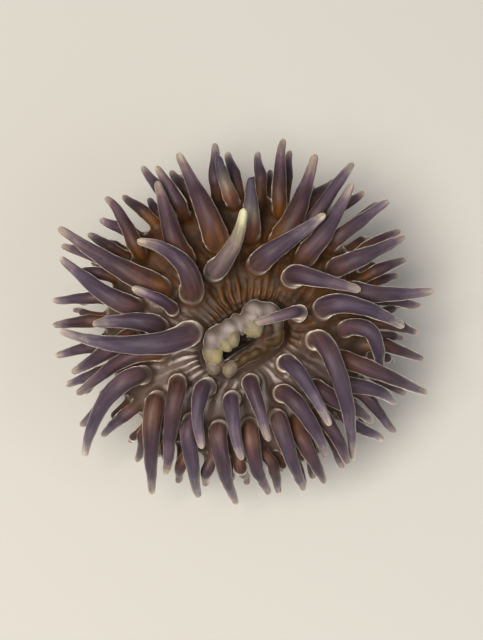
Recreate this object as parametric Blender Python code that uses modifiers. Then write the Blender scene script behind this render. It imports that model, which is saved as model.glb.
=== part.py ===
"""A small sea anemone at life size, open and at rest on its foot.

Sizes are in millimetres. Bearings are in degrees clockwise from +Y, seen from above. The
origin is the centre of the foot's flat underside, and the tentacles spread about that axis.
"""

import collections
import math

import bmesh
import bpy
import numpy as np

MM = 0.001
GAP = 0.3
WELD = 0.01
UP = np.array([0.0, 0.0, 1.0])

# Foot and column, as radii and heights.
FOOT_RADIUS = 13.1
FOOT_HEIGHT = 1.4
FOOT_TOP_RADIUS = 12.6
FOOT_SOLE_RADIUS = 12.95
FOOT_EDGE_HEIGHTS = (1.0, 0.4)
COLUMN_FOOT_RADIUS = 11.3
ANKLE_RADIUS = 10.3
ANKLE_HEIGHT = 2.9
WAIST_RADIUS = 10.1
WAIST_HEIGHT = 4.8
NECK_RADIUS = 10.9
NECK_HEIGHT = 8.0
COLUMN_TOP = 13.2
TURN_STEPS = 26

# The crown is a low dome with a round shoulder, split at RIM_SPLIT into the oral disc and
# the ring of margin pieces that carry the outer tentacles.
DISC_HEIGHT = 16.0
DOME_RISE = 0.8
SHOULDER_START = 12.6
SHOULDER_RADIUS = 3.2
SHOULDER_CENTRE = DISC_HEIGHT - SHOULDER_RADIUS
MARGIN_RADIUS = SHOULDER_START + SHOULDER_RADIUS
RIM_SPLIT = 12.35
DISC_STATIONS = (0.0, 0.45, 0.8, 1.0)
MARGIN_PIECES = 12
MARGIN_UNDERSIDE = 10.3
MARGIN_STATIONS = (0.0, 32.0, 71.0, 112.0)

# The mouth sits off the crown's centre: a raised ring of round knobs about a long slit,
# fuller and higher on the side to the left of its bearing.
MOUTH_CENTRE = np.array([0.9, -2.4])
MOUTH_BEARING = 57.0
LIP_LENGTH = 10.6
LIP_WIDTH = 6.0
LIP_RADIUS = 1.12
LIP_KNOBS = 9
LIP_KNOB_SWELL = 0.16
LIP_FULLER_SIDE = 0.14
LIP_POINTS = 27
THROAT_WIDTH = 1.2
THROAT_LENGTH = 5.6
THROAT_DEPTH = 2.0

# Tentacles: samples along each centreline, and rings along each solid.
SAMPLES = 15
LARGE_RING_SPACING = 2.45
OUTER_RING_SPACING = 2.9
FEWEST_RINGS = 3
ROOT_CROWDING = 1.5
TIP_CAP_START = 0.95
FULLNESS = 1.05
SWELL = 0.09
SWELL_SHARE = 0.8
BLUNT_END = 0.66
STEM_HEIGHT = 1.0
LOWEST_TIP = 1.2
ROOT_EMBED = 0.9
SEED = 5

# Crowded tentacles give way to each other a little at a time.
SPACING_ROUNDS = 200
SPACING_STEP = 0.6
SPACE_BETWEEN = 0.45
NEARBY = 7.0
PAIRS_LAST_ROUNDS = 40
PULL_HOME = 0.985
STIFF_SHARE = 0.2

# The large tentacles are placed one by one. Each row: where it roots on the crown (bearing,
# radius), where its tip lies (bearing, reach, height), how high it rises before it bends,
# how far it bows clockwise of the straight line to its tip, and its radius at the root.
INNER_TENTACLES = (
    (299, 6.2, 307, 14.6, 19.5, 4.6, 1.7, 1.50),
    (333, 6.2, 3, 11.4, 24.5, 3.2, 1.0, 1.35),
    (20, 6.8, 41, 15.3, 20.5, 3.2, 0.2, 1.45),
    (53, 7.8, 79, 14.2, 19.6, 4.8, 0.4, 1.40),
    (83, 9.7, 92, 19.2, 15.5, 4.6, -0.4, 1.35),
    (86, 6.8, 118, 2.2, 21.5, 6.4, -0.4, 0.95),
    (106, 9.0, 141, 20.3, 10.5, 5.4, -0.6, 1.25),
    (134, 7.4, 140, 16.0, 17.6, 4.8, -0.2, 1.12),
    (169, 7.4, 163, 14.6, 18.6, 4.2, 0.2, 1.10),
    (184, 9.2, 177, 16.0, 17.6, 4.0, 0.4, 1.10),
    (204, 8.6, 197, 15.6, 18.0, 4.2, 0.8, 1.15),
    (223, 10.0, 207, 18.8, 10.0, 4.0, -0.6, 1.15),
    (254, 5.7, 266, 20.6, 17.5, 5.6, -2.4, 1.60),
    (264, 9.2, 268, 16.8, 16.5, 2.6, 0.2, 1.35),
    (278, 7.6, 284, 12.4, 21.5, 3.0, 0.2, 0.85),
)
MIDDLE_TENTACLES = (
    (292, 9.8, 297, 23.5, 18.0, 3.0, -0.6, 1.55),
    (318, 9.5, 329, 18.4, 20.0, 3.0, 0.0, 1.50),
    (345, 9.6, 340, 20.8, 18.5, 2.6, 0.0, 1.60),
    (7, 10.2, 5, 16.2, 20.4, 3.4, 0.0, 1.40),
    (28, 10.5, 25, 21.4, 18.5, 2.4, 0.5, 1.55),
    (46, 10.7, 40, 20.6, 19.0, 2.6, 0.4, 1.40),
    (62, 12.7, 63, 21.9, 17.0, 3.0, 0.5, 1.30),
    (75, 12.9, 81, 23.2, 16.0, 2.2, 0.8, 1.25),
    (95, 12.3, 111, 17.8, 11.5, 4.2, -1.3, 1.05),
    (111, 12.3, 109, 23.8, 9.0, 2.4, 0.6, 1.15),
    (132, 11.6, 126, 19.4, 9.8, 3.4, 0.6, 1.10),
    (150, 9.8, 149, 18.2, 12.5, 4.0, -0.4, 1.15),
    (174, 12.2, 168, 19.8, 8.5, 2.2, 0.4, 1.10),
    (190, 12.7, 181, 20.6, 6.0, 2.4, 0.6, 1.10),
    (225, 13.0, 208, 22.2, 7.0, 2.6, 0.0, 1.20),
    (240, 12.7, 231, 23.9, 8.0, 3.6, 1.4, 1.20),
    (260, 12.3, 253, 20.2, 13.0, 2.6, -0.6, 1.20),
    (277, 12.2, 290, 22.3, 15.5, 2.4, -0.6, 1.30),
    (246, 9.7, 246, 20.6, 13.0, 3.4, 0.2, 1.10),
    (159, 12.0, 158, 20.4, 9.0, 2.8, 0.2, 1.10),
    (205, 12.8, 193, 20.2, 7.5, 2.4, 0.4, 1.05),
)
LARGE_TIP_RADIUS = 0.42
KNUCKLE_LIFT = 1.5
KNUCKLE_REACH = 0.5
BOW_GAIN = 1.4
INNER_LEAN = 0.0
MIDDLE_LEAN = 0.45

# A long one is divided into two lengths, near its middle and where it bends least.
DIVIDED_LENGTH = 18.0
JOINT_RANGE = (0.38, 0.66)
JOINT_PLACES = 15
JOINT_MARGIN = 0.05
BEND_REACH = 0.08

# A few more stand on top of the shoulder, where the large ones leave room. Each row: root
# bearing, then the tip's bearing, reach and height.
UPPER_TENTACLES = (
    (295, 294, 23.0, 14.5),
    (304, 313, 21.5, 16.5),
    (333, 332, 20.5, 18.0),
    (357, 353, 19.4, 18.5),
    (20, 14, 22.2, 17.5),
    (37, 36, 23.0, 17.5),
    (50, 51, 22.8, 16.5),
    (123, 117, 20.4, 11.0),
    (141, 140, 20.4, 10.5),
    (150, 151, 20.8, 10.0),
)
UPPER_SHOULDER_ANGLE = 18.0
UPPER_RADIUS = 1.05
UPPER_TIP_RADIUS = 0.40

# The outer tentacles follow the crown's clock: per margin piece, three medium ones on the
# shoulder and three small ones below them.
MEDIUM_OFFSETS = (-10.0, 0.0, 10.0)
MEDIUM_SHOULDER_ANGLE = 50.0
MEDIUM_RADIUS = 0.90
MEDIUM_TIP_RADIUS = 0.38
MEDIUM_HEIGHT = 14.5
SMALL_OFFSETS = (-5.5, 3.8, 12.2)
SMALL_SHOULDER_ANGLE = 92.0
SMALL_RADIUS = 0.66
SMALL_TIP_RADIUS = 0.34
SMALL_HEIGHT = 11.0
SMALL_REACH_SHARE = 0.90
REACH_EAST_WEST = 22.4
REACH_NORTH = 21.6
REACH_SOUTH = 19.6
SHORTEST_REACH = 0.94
LONGEST_REACH = 1.04
SOUTH_DROOP = 5.5
TIP_WANDER = 4.0
TIP_LIFT = 0.9

# Those on the shoulder leave it squarely, arch over and then lean outward.
LEAVE_SHARE = 0.4
ARRIVE_SHARE = 0.32
ARCH = 0.07
SOUTH_ARCH = 0.24
UPPER_SOUTH_ARCH = 0.6

# How little each size gives way to its neighbours.
LARGE_FIRMNESS = 3.0
UPPER_FIRMNESS = 2.0
MEDIUM_FIRMNESS = 1.5
SMALL_FIRMNESS = 1.0


# ---------------------------------------------------------------- the body's surfaces


def disc_top(radius):
    """Height of the dome at a radius inside the shoulder."""
    return DISC_HEIGHT + DOME_RISE * (1.0 - (radius / SHOULDER_START) ** 2)


def outward(bearing):
    """Unit vector that points away from the axis on a bearing."""
    angle = math.radians(bearing)
    return np.array([math.sin(angle), math.cos(angle), 0.0])


def shoulder_point(bearing, degrees):
    """Point and normal on the round shoulder, at degrees from its top."""
    angle = math.radians(degrees)
    normal = outward(bearing) * math.sin(angle) + UP * math.cos(angle)
    centre = outward(bearing) * SHOULDER_START + UP * SHOULDER_CENTRE
    return centre + normal * SHOULDER_RADIUS, normal


def crown_point(bearing, radius):
    """Point and normal on the crown's upper surface at a plan radius."""
    if radius > SHOULDER_START:
        across = (radius - SHOULDER_START) / SHOULDER_RADIUS
        return shoulder_point(bearing, math.degrees(math.asin(across)))
    slope = 2.0 * DOME_RISE * radius / SHOULDER_START**2
    normal = outward(bearing) * slope + UP
    point = outward(bearing) * radius + UP * disc_top(radius)
    return point, normal / np.linalg.norm(normal)


def body_clearance(points):
    """Distance of points from the crown and column, and the way out from them."""
    radius = np.maximum(np.hypot(points[:, 0], points[:, 1]), 1e-6)
    away = np.column_stack([points[:, 0] / radius, points[:, 1] / radius, 0.0 * radius])
    height = points[:, 2]
    distance = height - disc_top(np.minimum(radius, SHOULDER_START))
    normal = np.tile(UP, (len(points), 1))

    over_r = radius - SHOULDER_START
    over_z = height - SHOULDER_CENTRE
    span = np.maximum(np.hypot(over_r, over_z), 1e-6)
    round_part = (over_r > 0.0) & (over_z >= 0.0)
    distance = np.where(round_part, span - SHOULDER_RADIUS, distance)
    round_normal = away * (over_r / span)[:, None] + UP * (over_z / span)[:, None]
    normal = np.where(round_part[:, None], round_normal, normal)

    below = (over_r > 0.0) & (over_z < 0.0)
    heights = (0.0, WAIST_HEIGHT, NECK_HEIGHT, MARGIN_UNDERSIDE, SHOULDER_CENTRE)
    radii = (FOOT_RADIUS, WAIST_RADIUS, NECK_RADIUS, RIM_SPLIT, MARGIN_RADIUS)
    wall = np.interp(height, heights, radii)
    distance = np.where(below, radius - wall, distance)
    normal = np.where(below[:, None], away, normal)
    return distance, normal


# ---------------------------------------------------------------- centrelines


def evenly_along(points, shares):
    """Points at the given shares of a polyline's length."""
    steps = np.linalg.norm(np.diff(points, axis=0), axis=1)
    travelled = np.concatenate([[0.0], np.cumsum(steps)]) / steps.sum()
    return np.column_stack([np.interp(shares, travelled, points[:, i]) for i in range(3)])


def centreline(root, stem, leave, arrive, tip):
    """A short straight stem and then a cubic curve to the tip, as evenly spaced samples."""
    share = np.linspace(0.0, 1.0, 60)[:, None]
    rest = 1.0 - share
    curve = rest**3 * stem + 3 * rest**2 * share * leave
    curve = curve + 3 * rest * share**2 * arrive + share**3 * tip
    return evenly_along(np.vstack([root, curve]), np.linspace(0.0, 1.0, SAMPLES))


def southness(bearing):
    """0 where the crown stands fullest, 1 on the opposite side, where it hangs."""
    return 0.5 - 0.5 * math.cos(math.radians(bearing))


def large_centreline(row, lean):
    """Up off the crown, over in a rounded knuckle, then out to the tip.

    On the side where the crown stands fullest, it leans outward from its root.
    """
    root_bearing, root_radius, tip_bearing, reach, height, rise, bow, _ = row
    surface, normal = crown_point(root_bearing, root_radius)
    root = surface + normal * GAP
    tip = outward(tip_bearing) * reach + UP * height
    run = (tip - root) * [1.0, 1.0, 0.0]
    side = np.cross(run / np.linalg.norm(run), UP)
    way = normal + outward(root_bearing) * lean * (1.0 - southness(root_bearing))
    leave = root + way * rise * KNUCKLE_LIFT + side * bow
    arrive = root + run * KNUCKLE_REACH + UP * rise + side * bow * BOW_GAIN
    return centreline(root, root + normal * STEM_HEIGHT, leave, arrive, tip)


def shoulder_centreline(bearing, shoulder_angle, tip, arch):
    """Squarely off the shoulder, then over towards the tip."""
    surface, normal = shoulder_point(bearing, shoulder_angle)
    length = np.linalg.norm(tip - surface)
    leave = surface + normal * length * LEAVE_SHARE
    arrive = tip - outward(bearing) * length * ARRIVE_SHARE + UP * length * arch
    return centreline(surface, surface + normal * STEM_HEIGHT, leave, arrive, tip)


def upper_centreline(row):
    """A long lean from the top of the shoulder out to the tip."""
    bearing, tip_bearing, reach, height = row
    tip = outward(tip_bearing) * reach + UP * height
    arch = ARCH + UPPER_SOUTH_ARCH * southness(bearing)
    return shoulder_centreline(bearing, UPPER_SHOULDER_ANGLE, tip, arch)


def outer_reach(bearing):
    """How far the crown's outline stands from the axis on a bearing."""
    angle = math.radians(bearing)
    north_south = REACH_NORTH if math.cos(angle) > 0.0 else REACH_SOUTH
    return math.hypot(REACH_EAST_WEST * math.sin(angle), north_south * math.cos(angle))


def outer_centreline(bearing, shoulder_angle, share, height, chance):
    """Straight out of the margin, then drooping on the side where the crown hangs."""
    south = southness(bearing)
    reach = outer_reach(bearing) * share * chance.uniform(SHORTEST_REACH, LONGEST_REACH)
    tip = outward(bearing + chance.uniform(-TIP_WANDER, TIP_WANDER)) * reach
    tip = tip + UP * (height - SOUTH_DROOP * south + chance.uniform(-TIP_LIFT, TIP_LIFT))
    return shoulder_centreline(bearing, shoulder_angle, tip, ARCH + SOUTH_ARCH * south)


def length_of(line):
    return np.linalg.norm(np.diff(line, axis=0), axis=1).sum()


def girth(radii, share):
    """Radius of a tentacle at shares of its length, from the root to its blunt tip."""
    root, tip = radii
    taper = tip + (root - tip) * (1.0 - share**FULLNESS)
    swell = 1.0 + SWELL * np.sin(np.pi * np.clip(share / SWELL_SHARE, 0.0, 1.0))
    blunt = np.where(share > TIP_CAP_START, BLUNT_END, 1.0)
    return taper * swell * blunt


def lip_path():
    """The stadium-shaped middle line of the lips, and its radius at each knob."""
    half_width = LIP_WIDTH / 2.0 - LIP_RADIUS
    straight = LIP_LENGTH - 2.0 * LIP_RADIUS - 2.0 * half_width
    lap = 2.0 * straight + 2.0 * math.pi * half_width
    along = outward(MOUTH_BEARING)
    across = np.cross(UP, along)
    points = []
    radii = []
    for index in range(LIP_POINTS):
        travelled = lap * index / LIP_POINTS
        side = 1.0 if travelled < lap / 2.0 else -1.0
        travelled = travelled % (lap / 2.0)
        if travelled < straight:
            length = side * (straight / 2.0 - travelled)
            width = side * half_width
        else:
            turn = (travelled - straight) / half_width
            length = -side * (straight / 2.0 + half_width * math.sin(turn))
            width = side * half_width * math.cos(turn)
        plan = np.append(MOUTH_CENTRE, 0.0) + along * length + across * width
        full = 1.0 + LIP_FULLER_SIDE * width / half_width
        knob = math.cos(2.0 * math.pi * LIP_KNOBS * index / LIP_POINTS)
        lift = GAP + LIP_RADIUS * (full + LIP_KNOB_SWELL)
        points.append(plan + UP * (disc_top(np.hypot(plan[0], plan[1])) + lift))
        radii.append(LIP_RADIUS * (full + LIP_KNOB_SWELL * knob))
    return np.array(points), np.array(radii)


# ---------------------------------------------------------------- spacing


def near_pairs(points, owner):
    """Samples of different tentacles that lie near enough to meet while they are moved."""
    apart = np.linalg.norm(points[:, None, :] - points[None, :, :], axis=2)
    first, second = np.nonzero((apart < NEARBY) & (owner[:, None] < owner[None, :]))
    return first, second


def push_apart(points, pairs, thick, looseness):
    """How far each sample must shift so that its tentacle clears the others."""
    first, second = pairs
    apart = points[first] - points[second]
    distance = np.linalg.norm(apart, axis=1) + 1e-6
    short = np.maximum(thick[first] + thick[second] + SPACE_BETWEEN - distance, 0.0)
    way = apart * (short / distance)[:, None]
    give = looseness[first] / (looseness[first] + looseness[second] + 1e-9)
    push = np.zeros_like(points)
    np.add.at(push, first, way * give[:, None])
    np.add.at(push, second, -way * (1.0 - give)[:, None])
    crowd = np.zeros(len(points))
    np.add.at(crowd, first, short > 0.0)
    np.add.at(crowd, second, short > 0.0)
    return push / np.sqrt(np.maximum(crowd, 1.0))[:, None]


def push_off_body(points, thick, needed, lips):
    """How far each sample must shift to clear the lips, the crown and the column."""
    lip_points, lip_radii = lips
    from_lips = points[:, None, :] - lip_points[None, :, :]
    distance = np.linalg.norm(from_lips, axis=2) + 1e-6
    short = np.maximum(thick[:, None] + lip_radii + 2.0 * GAP - distance, 0.0)
    push = (from_lips * (short / distance)[:, :, None]).max(axis=1)
    clear, normal = body_clearance(points)
    return push + normal * np.maximum(needed - clear, 0.0)[:, None]


def relax(shift, planned, lowest):
    """Evens out a shift along each tentacle, so that what is pushed bends smoothly."""
    shift[:, 1:-1] = (shift[:, :-2] + 2.0 * shift[:, 1:-1] + shift[:, 2:]) / 4.0
    shift[:, -1] = (shift[:, -1] + shift[:, -2]) / 2.0
    shift[:, 0] = 0.0
    shift[:, :, :2] *= PULL_HOME
    shift[:, :, 2] = np.maximum(planned[:, :, 2] + shift[:, :, 2], lowest) - planned[:, :, 2]


def space_out(plan):
    """Moves crowded centrelines apart until every tentacle has its own room.

    Each line keeps its root and stem, and firm lines give way less than soft ones.
    """
    planned = np.array([tentacle.line for tentacle in plan])
    firmness = np.array([tentacle.firmness for tentacle in plan])
    shares = np.linspace(0.0, 1.0, SAMPLES)
    bodies = np.minimum(shares, TIP_CAP_START)
    thick = np.array([girth(tentacle.radii, bodies) for tentacle in plan])
    owner = np.repeat(np.arange(len(plan)), SAMPLES)
    steps = np.linalg.norm(np.diff(planned, axis=1), axis=2)
    travelled = np.column_stack([np.zeros(len(plan)), np.cumsum(steps, axis=1)])
    bendable = np.minimum(shares / STIFF_SHARE, 1.0) ** ROOT_CROWDING
    looseness = (bendable / firmness[:, None]).reshape(-1)
    needed = np.minimum(thick + GAP, travelled).reshape(-1)
    lowest = thick + LOWEST_TIP
    lips = lip_path()
    shift = np.zeros_like(planned)
    for turn in range(SPACING_ROUNDS):
        points = (planned + shift).reshape(-1, 3)
        if turn % PAIRS_LAST_ROUNDS == 0:
            pairs = near_pairs(points, owner)
        push = push_apart(points, pairs, thick.reshape(-1), looseness)
        push = push + push_off_body(points, thick.reshape(-1), needed, lips)
        shift = shift + SPACING_STEP * push.reshape(planned.shape) * bendable[None, :, None]
        relax(shift, planned, lowest)
    return [tentacle._replace(line=line) for tentacle, line in zip(plan, planned + shift)]


# ---------------------------------------------------------------- building blocks


def clear_scene():
    for item in list(bpy.data.objects):
        bpy.data.objects.remove(item, do_unlink=True)


def make_collection(name, is_helper=False):
    collection = bpy.data.collections.new(name)
    collection.hide_render = is_helper
    bpy.context.scene.collection.children.link(collection)
    return collection


def make_material(name, colour, roughness):
    material = bpy.data.materials.new(name)
    material.use_nodes = True
    shader = material.node_tree.nodes["Principled BSDF"]
    shader.inputs["Base Color"].default_value = (*colour, 1.0)
    shader.inputs["Roughness"].default_value = roughness
    shader.inputs["Metallic"].default_value = 0.0
    return material


def add_object(name, data, material, collection):
    item = bpy.data.objects.new(name, data)
    item.data.materials.append(material)
    collection.objects.link(item)
    return item


def turned(name, profile, material, collection):
    """A solid of revolution from (radius, height) points, listed from the top down."""
    mesh = bpy.data.meshes.new(name)
    points = [(radius * MM, 0.0, height * MM) for radius, height in profile]
    edges = [(index, index + 1) for index in range(len(profile) - 1)]
    mesh.from_pydata(points, edges, [])
    item = add_object(name, mesh, material, collection)
    screw = item.modifiers.new("Turn", "SCREW")
    screw.steps = TURN_STEPS
    screw.render_steps = TURN_STEPS
    screw.use_merge_vertices = True
    screw.merge_threshold = WELD * MM
    screw.use_smooth_shade = True
    return item


def tube_curve(name, points, radii, sides, closed=False):
    """A curve object along points, as thick as radii, with 4, 6 or 8 sides."""
    curve = bpy.data.curves.new(name, "CURVE")
    curve.dimensions = "3D"
    curve.bevel_depth = MM
    curve.bevel_resolution = (sides - 4) // 2
    curve.use_fill_caps = True
    spline = curve.splines.new("POLY")
    spline.points.add(len(points) - 1)
    spline.use_cyclic_u = closed
    spline.use_smooth = True
    for knot, point, radius in zip(spline.points, points, radii):
        knot.co = (*(point * MM), 1.0)
        knot.radius = radius
    return curve


def as_mesh(curve_object):
    """A closed mesh of a curve object, with its caps welded on."""
    bpy.context.view_layer.update()
    graph = bpy.context.evaluated_depsgraph_get()
    mesh = bpy.data.meshes.new_from_object(curve_object.evaluated_get(graph))
    cage = bmesh.new()
    cage.from_mesh(mesh)
    bmesh.ops.remove_doubles(cage, verts=cage.verts, dist=WELD * MM)
    cage.to_mesh(mesh)
    cage.free()
    bpy.data.objects.remove(curve_object, do_unlink=True)
    return mesh


def ring_shares(length, spacing):
    """Where a tentacle's rings stand along it: closer at the root, then a short blunt tip."""
    rings = max(FEWEST_RINGS, math.ceil(length / spacing))
    return np.append(np.linspace(0.0, 1.0, rings) ** ROOT_CROWDING * TIP_CAP_START, 1.0)


# ---------------------------------------------------------------- body


def build_foot(material, collection):
    upper, lower = FOOT_EDGE_HEIGHTS
    profile = (
        (0.0, FOOT_HEIGHT),
        (COLUMN_FOOT_RADIUS, FOOT_HEIGHT),
        (FOOT_TOP_RADIUS, upper),
        (FOOT_RADIUS, lower),
        (FOOT_SOLE_RADIUS, 0.0),
        (0.0, 0.0),
    )
    turned("pedal_disc", profile, material, collection)


def build_column(material, collection):
    top_radius = RIM_SPLIT - GAP
    profile = (
        (0.0, COLUMN_TOP),
        (top_radius, COLUMN_TOP),
        (top_radius, MARGIN_UNDERSIDE),
        (NECK_RADIUS, NECK_HEIGHT),
        (WAIST_RADIUS, WAIST_HEIGHT),
        (ANKLE_RADIUS, ANKLE_HEIGHT),
        (COLUMN_FOOT_RADIUS, FOOT_HEIGHT + GAP),
        (0.0, FOOT_HEIGHT + GAP),
    )
    turned("column", profile, material, collection)


def build_oral_disc(material, collection, helpers):
    rim = RIM_SPLIT - GAP
    profile = [(rim * share, disc_top(rim * share)) for share in DISC_STATIONS]
    profile += [(rim, COLUMN_TOP + GAP), (0.0, COLUMN_TOP + GAP)]
    disc = turned("oral_disc", profile, material, collection)

    bpy.ops.mesh.primitive_cylinder_add(vertices=16, radius=MM, depth=2.0 * THROAT_DEPTH * MM)
    throat = bpy.context.object
    throat.name = "throat_cutter"
    throat.scale = (THROAT_WIDTH / 2.0, THROAT_LENGTH / 2.0, 1.0)
    throat.rotation_euler[2] = -math.radians(MOUTH_BEARING)
    throat.location = (*(MOUTH_CENTRE * MM), (DISC_HEIGHT + DOME_RISE) * MM)
    throat.hide_render = True
    throat.display_type = "WIRE"
    for home in list(throat.users_collection):
        home.objects.unlink(throat)
    helpers.objects.link(throat)
    cut = disc.modifiers.new("Throat", "BOOLEAN")
    cut.operation = "DIFFERENCE"
    cut.solver = "EXACT"
    cut.object = throat


def build_lips(material, collection):
    points, radii = lip_path()
    curve = tube_curve("mouth_lips", points, radii, 6, closed=True)
    add_object("mouth_lips", curve, material, collection)


def margin_profile():
    """Outline of the margin ring in the (radius, height) plane, from its inner top corner."""
    outline = [(RIM_SPLIT, disc_top(RIM_SPLIT))]
    for degrees in MARGIN_STATIONS:
        point, _ = shoulder_point(0.0, degrees)
        outline.append((point[1], point[2]))
    outline.append((RIM_SPLIT, MARGIN_UNDERSIDE))
    return outline


def margin_block(name, start, end, material, collection):
    """One piece of the margin ring, swept between two bearings."""
    cage = bmesh.new()
    outline = margin_profile()
    sweeps = []
    for bearing in np.linspace(start, end, 3):
        way = outward(bearing) * MM
        corners = [cage.verts.new(way * radius + UP * height * MM) for radius, height in outline]
        sweeps.append(corners)
    for left, right in zip(sweeps, sweeps[1:]):
        for index in range(len(outline)):
            after = (index + 1) % len(outline)
            cage.faces.new((left[index], left[after], right[after], right[index]))
    cage.faces.new(sweeps[0])
    cage.faces.new(sweeps[-1])
    bmesh.ops.recalc_face_normals(cage, faces=cage.faces)
    mesh = bpy.data.meshes.new(name)
    cage.to_mesh(mesh)
    cage.free()
    return add_object(name, mesh, material, collection)


# ---------------------------------------------------------------- tentacles

# A tentacle has a centreline, its radii at root and tip, and the margin piece that it grows
# from, or None where it is one of the large ones.
Tentacle = collections.namedtuple("Tentacle", "line radii firmness piece")


def plan_large():
    plan = []
    for rows, lean in ((INNER_TENTACLES, INNER_LEAN), (MIDDLE_TENTACLES, MIDDLE_LEAN)):
        for row in rows:
            radii = (row[-1], LARGE_TIP_RADIUS)
            plan.append(Tentacle(large_centreline(row, lean), radii, LARGE_FIRMNESS, None))
    return plan


def plan_upper():
    plan = []
    for row in UPPER_TENTACLES:
        piece = round(row[0] * MARGIN_PIECES / 360.0) % MARGIN_PIECES
        radii = (UPPER_RADIUS, UPPER_TIP_RADIUS)
        plan.append(Tentacle(upper_centreline(row), radii, UPPER_FIRMNESS, piece))
    return plan


def plan_outer(chance):
    medium_radii = (MEDIUM_RADIUS, MEDIUM_TIP_RADIUS)
    small_radii = (SMALL_RADIUS, SMALL_TIP_RADIUS)
    plan = []
    for piece in range(MARGIN_PIECES):
        middle = piece * 360.0 / MARGIN_PIECES
        for offset in MEDIUM_OFFSETS:
            place = (middle + offset, MEDIUM_SHOULDER_ANGLE, 1.0, MEDIUM_HEIGHT)
            line = outer_centreline(*place, chance)
            plan.append(Tentacle(line, medium_radii, MEDIUM_FIRMNESS, piece))
        for offset in SMALL_OFFSETS:
            place = (middle + offset, SMALL_SHOULDER_ANGLE, SMALL_REACH_SHARE, SMALL_HEIGHT)
            line = outer_centreline(*place, chance)
            plan.append(Tentacle(line, small_radii, SMALL_FIRMNESS, piece))
    return plan


def straightest_share(line):
    """The place in the middle of a tentacle where it bends least."""
    places = np.linspace(*JOINT_RANGE, JOINT_PLACES)
    steps = (-BEND_REACH, 0.0, BEND_REACH)
    before, here, after = (evenly_along(line, places + step) for step in steps)
    bend = np.linalg.norm(before + after - 2.0 * here, axis=1)
    return places[np.argmin(bend)]


def build_large(name, tentacle, material, collection):
    """A large tentacle in one length or, when it is long, in a root length and a tip length."""
    line, radii = tentacle.line, tentacle.radii
    length = length_of(line)
    shares = ring_shares(length, LARGE_RING_SPACING)
    lengths = {name: shares}
    if length > DIVIDED_LENGTH:
        joint = straightest_share(line)
        half_gap = GAP / 2.0 / length
        root_shares = np.append(shares[shares < joint - JOINT_MARGIN], joint - half_gap)
        tip_shares = np.append(joint + half_gap, shares[shares > joint + JOINT_MARGIN])
        lengths = {name + "_root": root_shares, name + "_tip": tip_shares}
    for title, own in lengths.items():
        curve = tube_curve(title, evenly_along(line, own), girth(radii, own), 6)
        add_object(title, curve, material, collection)


def outer_tube(tentacle):
    """A closed mesh of an outer tentacle whose root is sunk into the margin."""
    line, radii = tentacle.line, tentacle.radii
    inward = line[0] - line[1]
    inward = inward / np.linalg.norm(inward)
    shares = ring_shares(length_of(line), OUTER_RING_SPACING)[1:]
    points = np.vstack([line[0] + inward * ROOT_EMBED, evenly_along(line, shares)])
    thick = np.append(girth(radii, 0.0), girth(radii, shares))
    curve = tube_curve("outer_tentacle", points, thick, 6)
    item = bpy.data.objects.new("outer_tentacle", curve)
    bpy.context.scene.collection.objects.link(item)
    return as_mesh(item)


def build_margin(piece, tentacles, material, collection, helpers):
    """A margin piece with its outer tentacles joined to it."""
    step = 360.0 / MARGIN_PIECES
    half_gap = math.degrees(GAP / 2.0 / MARGIN_RADIUS)
    start = (piece - 0.5) * step + half_gap
    end = (piece + 0.5) * step - half_gap
    name = f"margin_{piece + 1:02d}"
    block = margin_block(name, start, end, material, collection)
    for number, tentacle in enumerate(tentacles, start=1):
        title = f"{name}_tentacle_{number}"
        helper = bpy.data.objects.new(title, outer_tube(tentacle))
        helper.hide_render = True
        helper.display_type = "WIRE"
        helpers.objects.link(helper)
        union = block.modifiers.new(title, "BOOLEAN")
        union.operation = "UNION"
        union.solver = "EXACT"
        union.object = helper


def build_tentacles(materials, collection, helpers):
    chance = np.random.default_rng(SEED)
    plan = space_out(plan_large() + plan_upper() + plan_outer(chance))
    inner = len(INNER_TENTACLES)
    for index in range(inner + len(MIDDLE_TENTACLES)):
        ring, number = ("inner", index + 1) if index < inner else ("middle", index + 1 - inner)
        name = f"{ring}_tentacle_{number:02d}"
        build_large(name, plan[index], materials["tentacle"], collection)
    for piece in range(MARGIN_PIECES):
        own = [tentacle for tentacle in plan if tentacle.piece == piece]
        build_margin(piece, own, materials["margin"], collection, helpers)


def main():
    clear_scene()
    anemone = make_collection("sea_anemone")
    helpers = make_collection("cutters", is_helper=True)
    materials = {
        "foot": make_material("foot_flesh", (0.34, 0.24, 0.17), 0.55),
        "column": make_material("column_flesh", (0.26, 0.18, 0.16), 0.5),
        "disc": make_material("disc_flesh", (0.23, 0.15, 0.07), 0.45),
        "lips": make_material("lip_flesh", (0.52, 0.50, 0.40), 0.35),
        "tentacle": make_material("tentacle_flesh", (0.11, 0.07, 0.13), 0.35),
        "margin": make_material("outer_tentacle_flesh", (0.17, 0.10, 0.13), 0.4),
    }
    build_foot(materials["foot"], anemone)
    build_column(materials["column"], anemone)
    build_oral_disc(materials["disc"], anemone, helpers)
    build_lips(materials["lips"], anemone)
    build_tentacles(materials, anemone, helpers)


main()
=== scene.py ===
"""A small purple sea anemone, open, as a life-size museum model.

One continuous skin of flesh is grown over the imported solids: a turned body with its oral
disc, furrow and lips, and every tentacle swept along the solids' own rings, all united
into a single closed mesh. Sizes named below are in millimetres unless they say otherwise.
"""

import math

import bmesh
import bpy
import numpy as np
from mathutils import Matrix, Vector, kdtree


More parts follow.
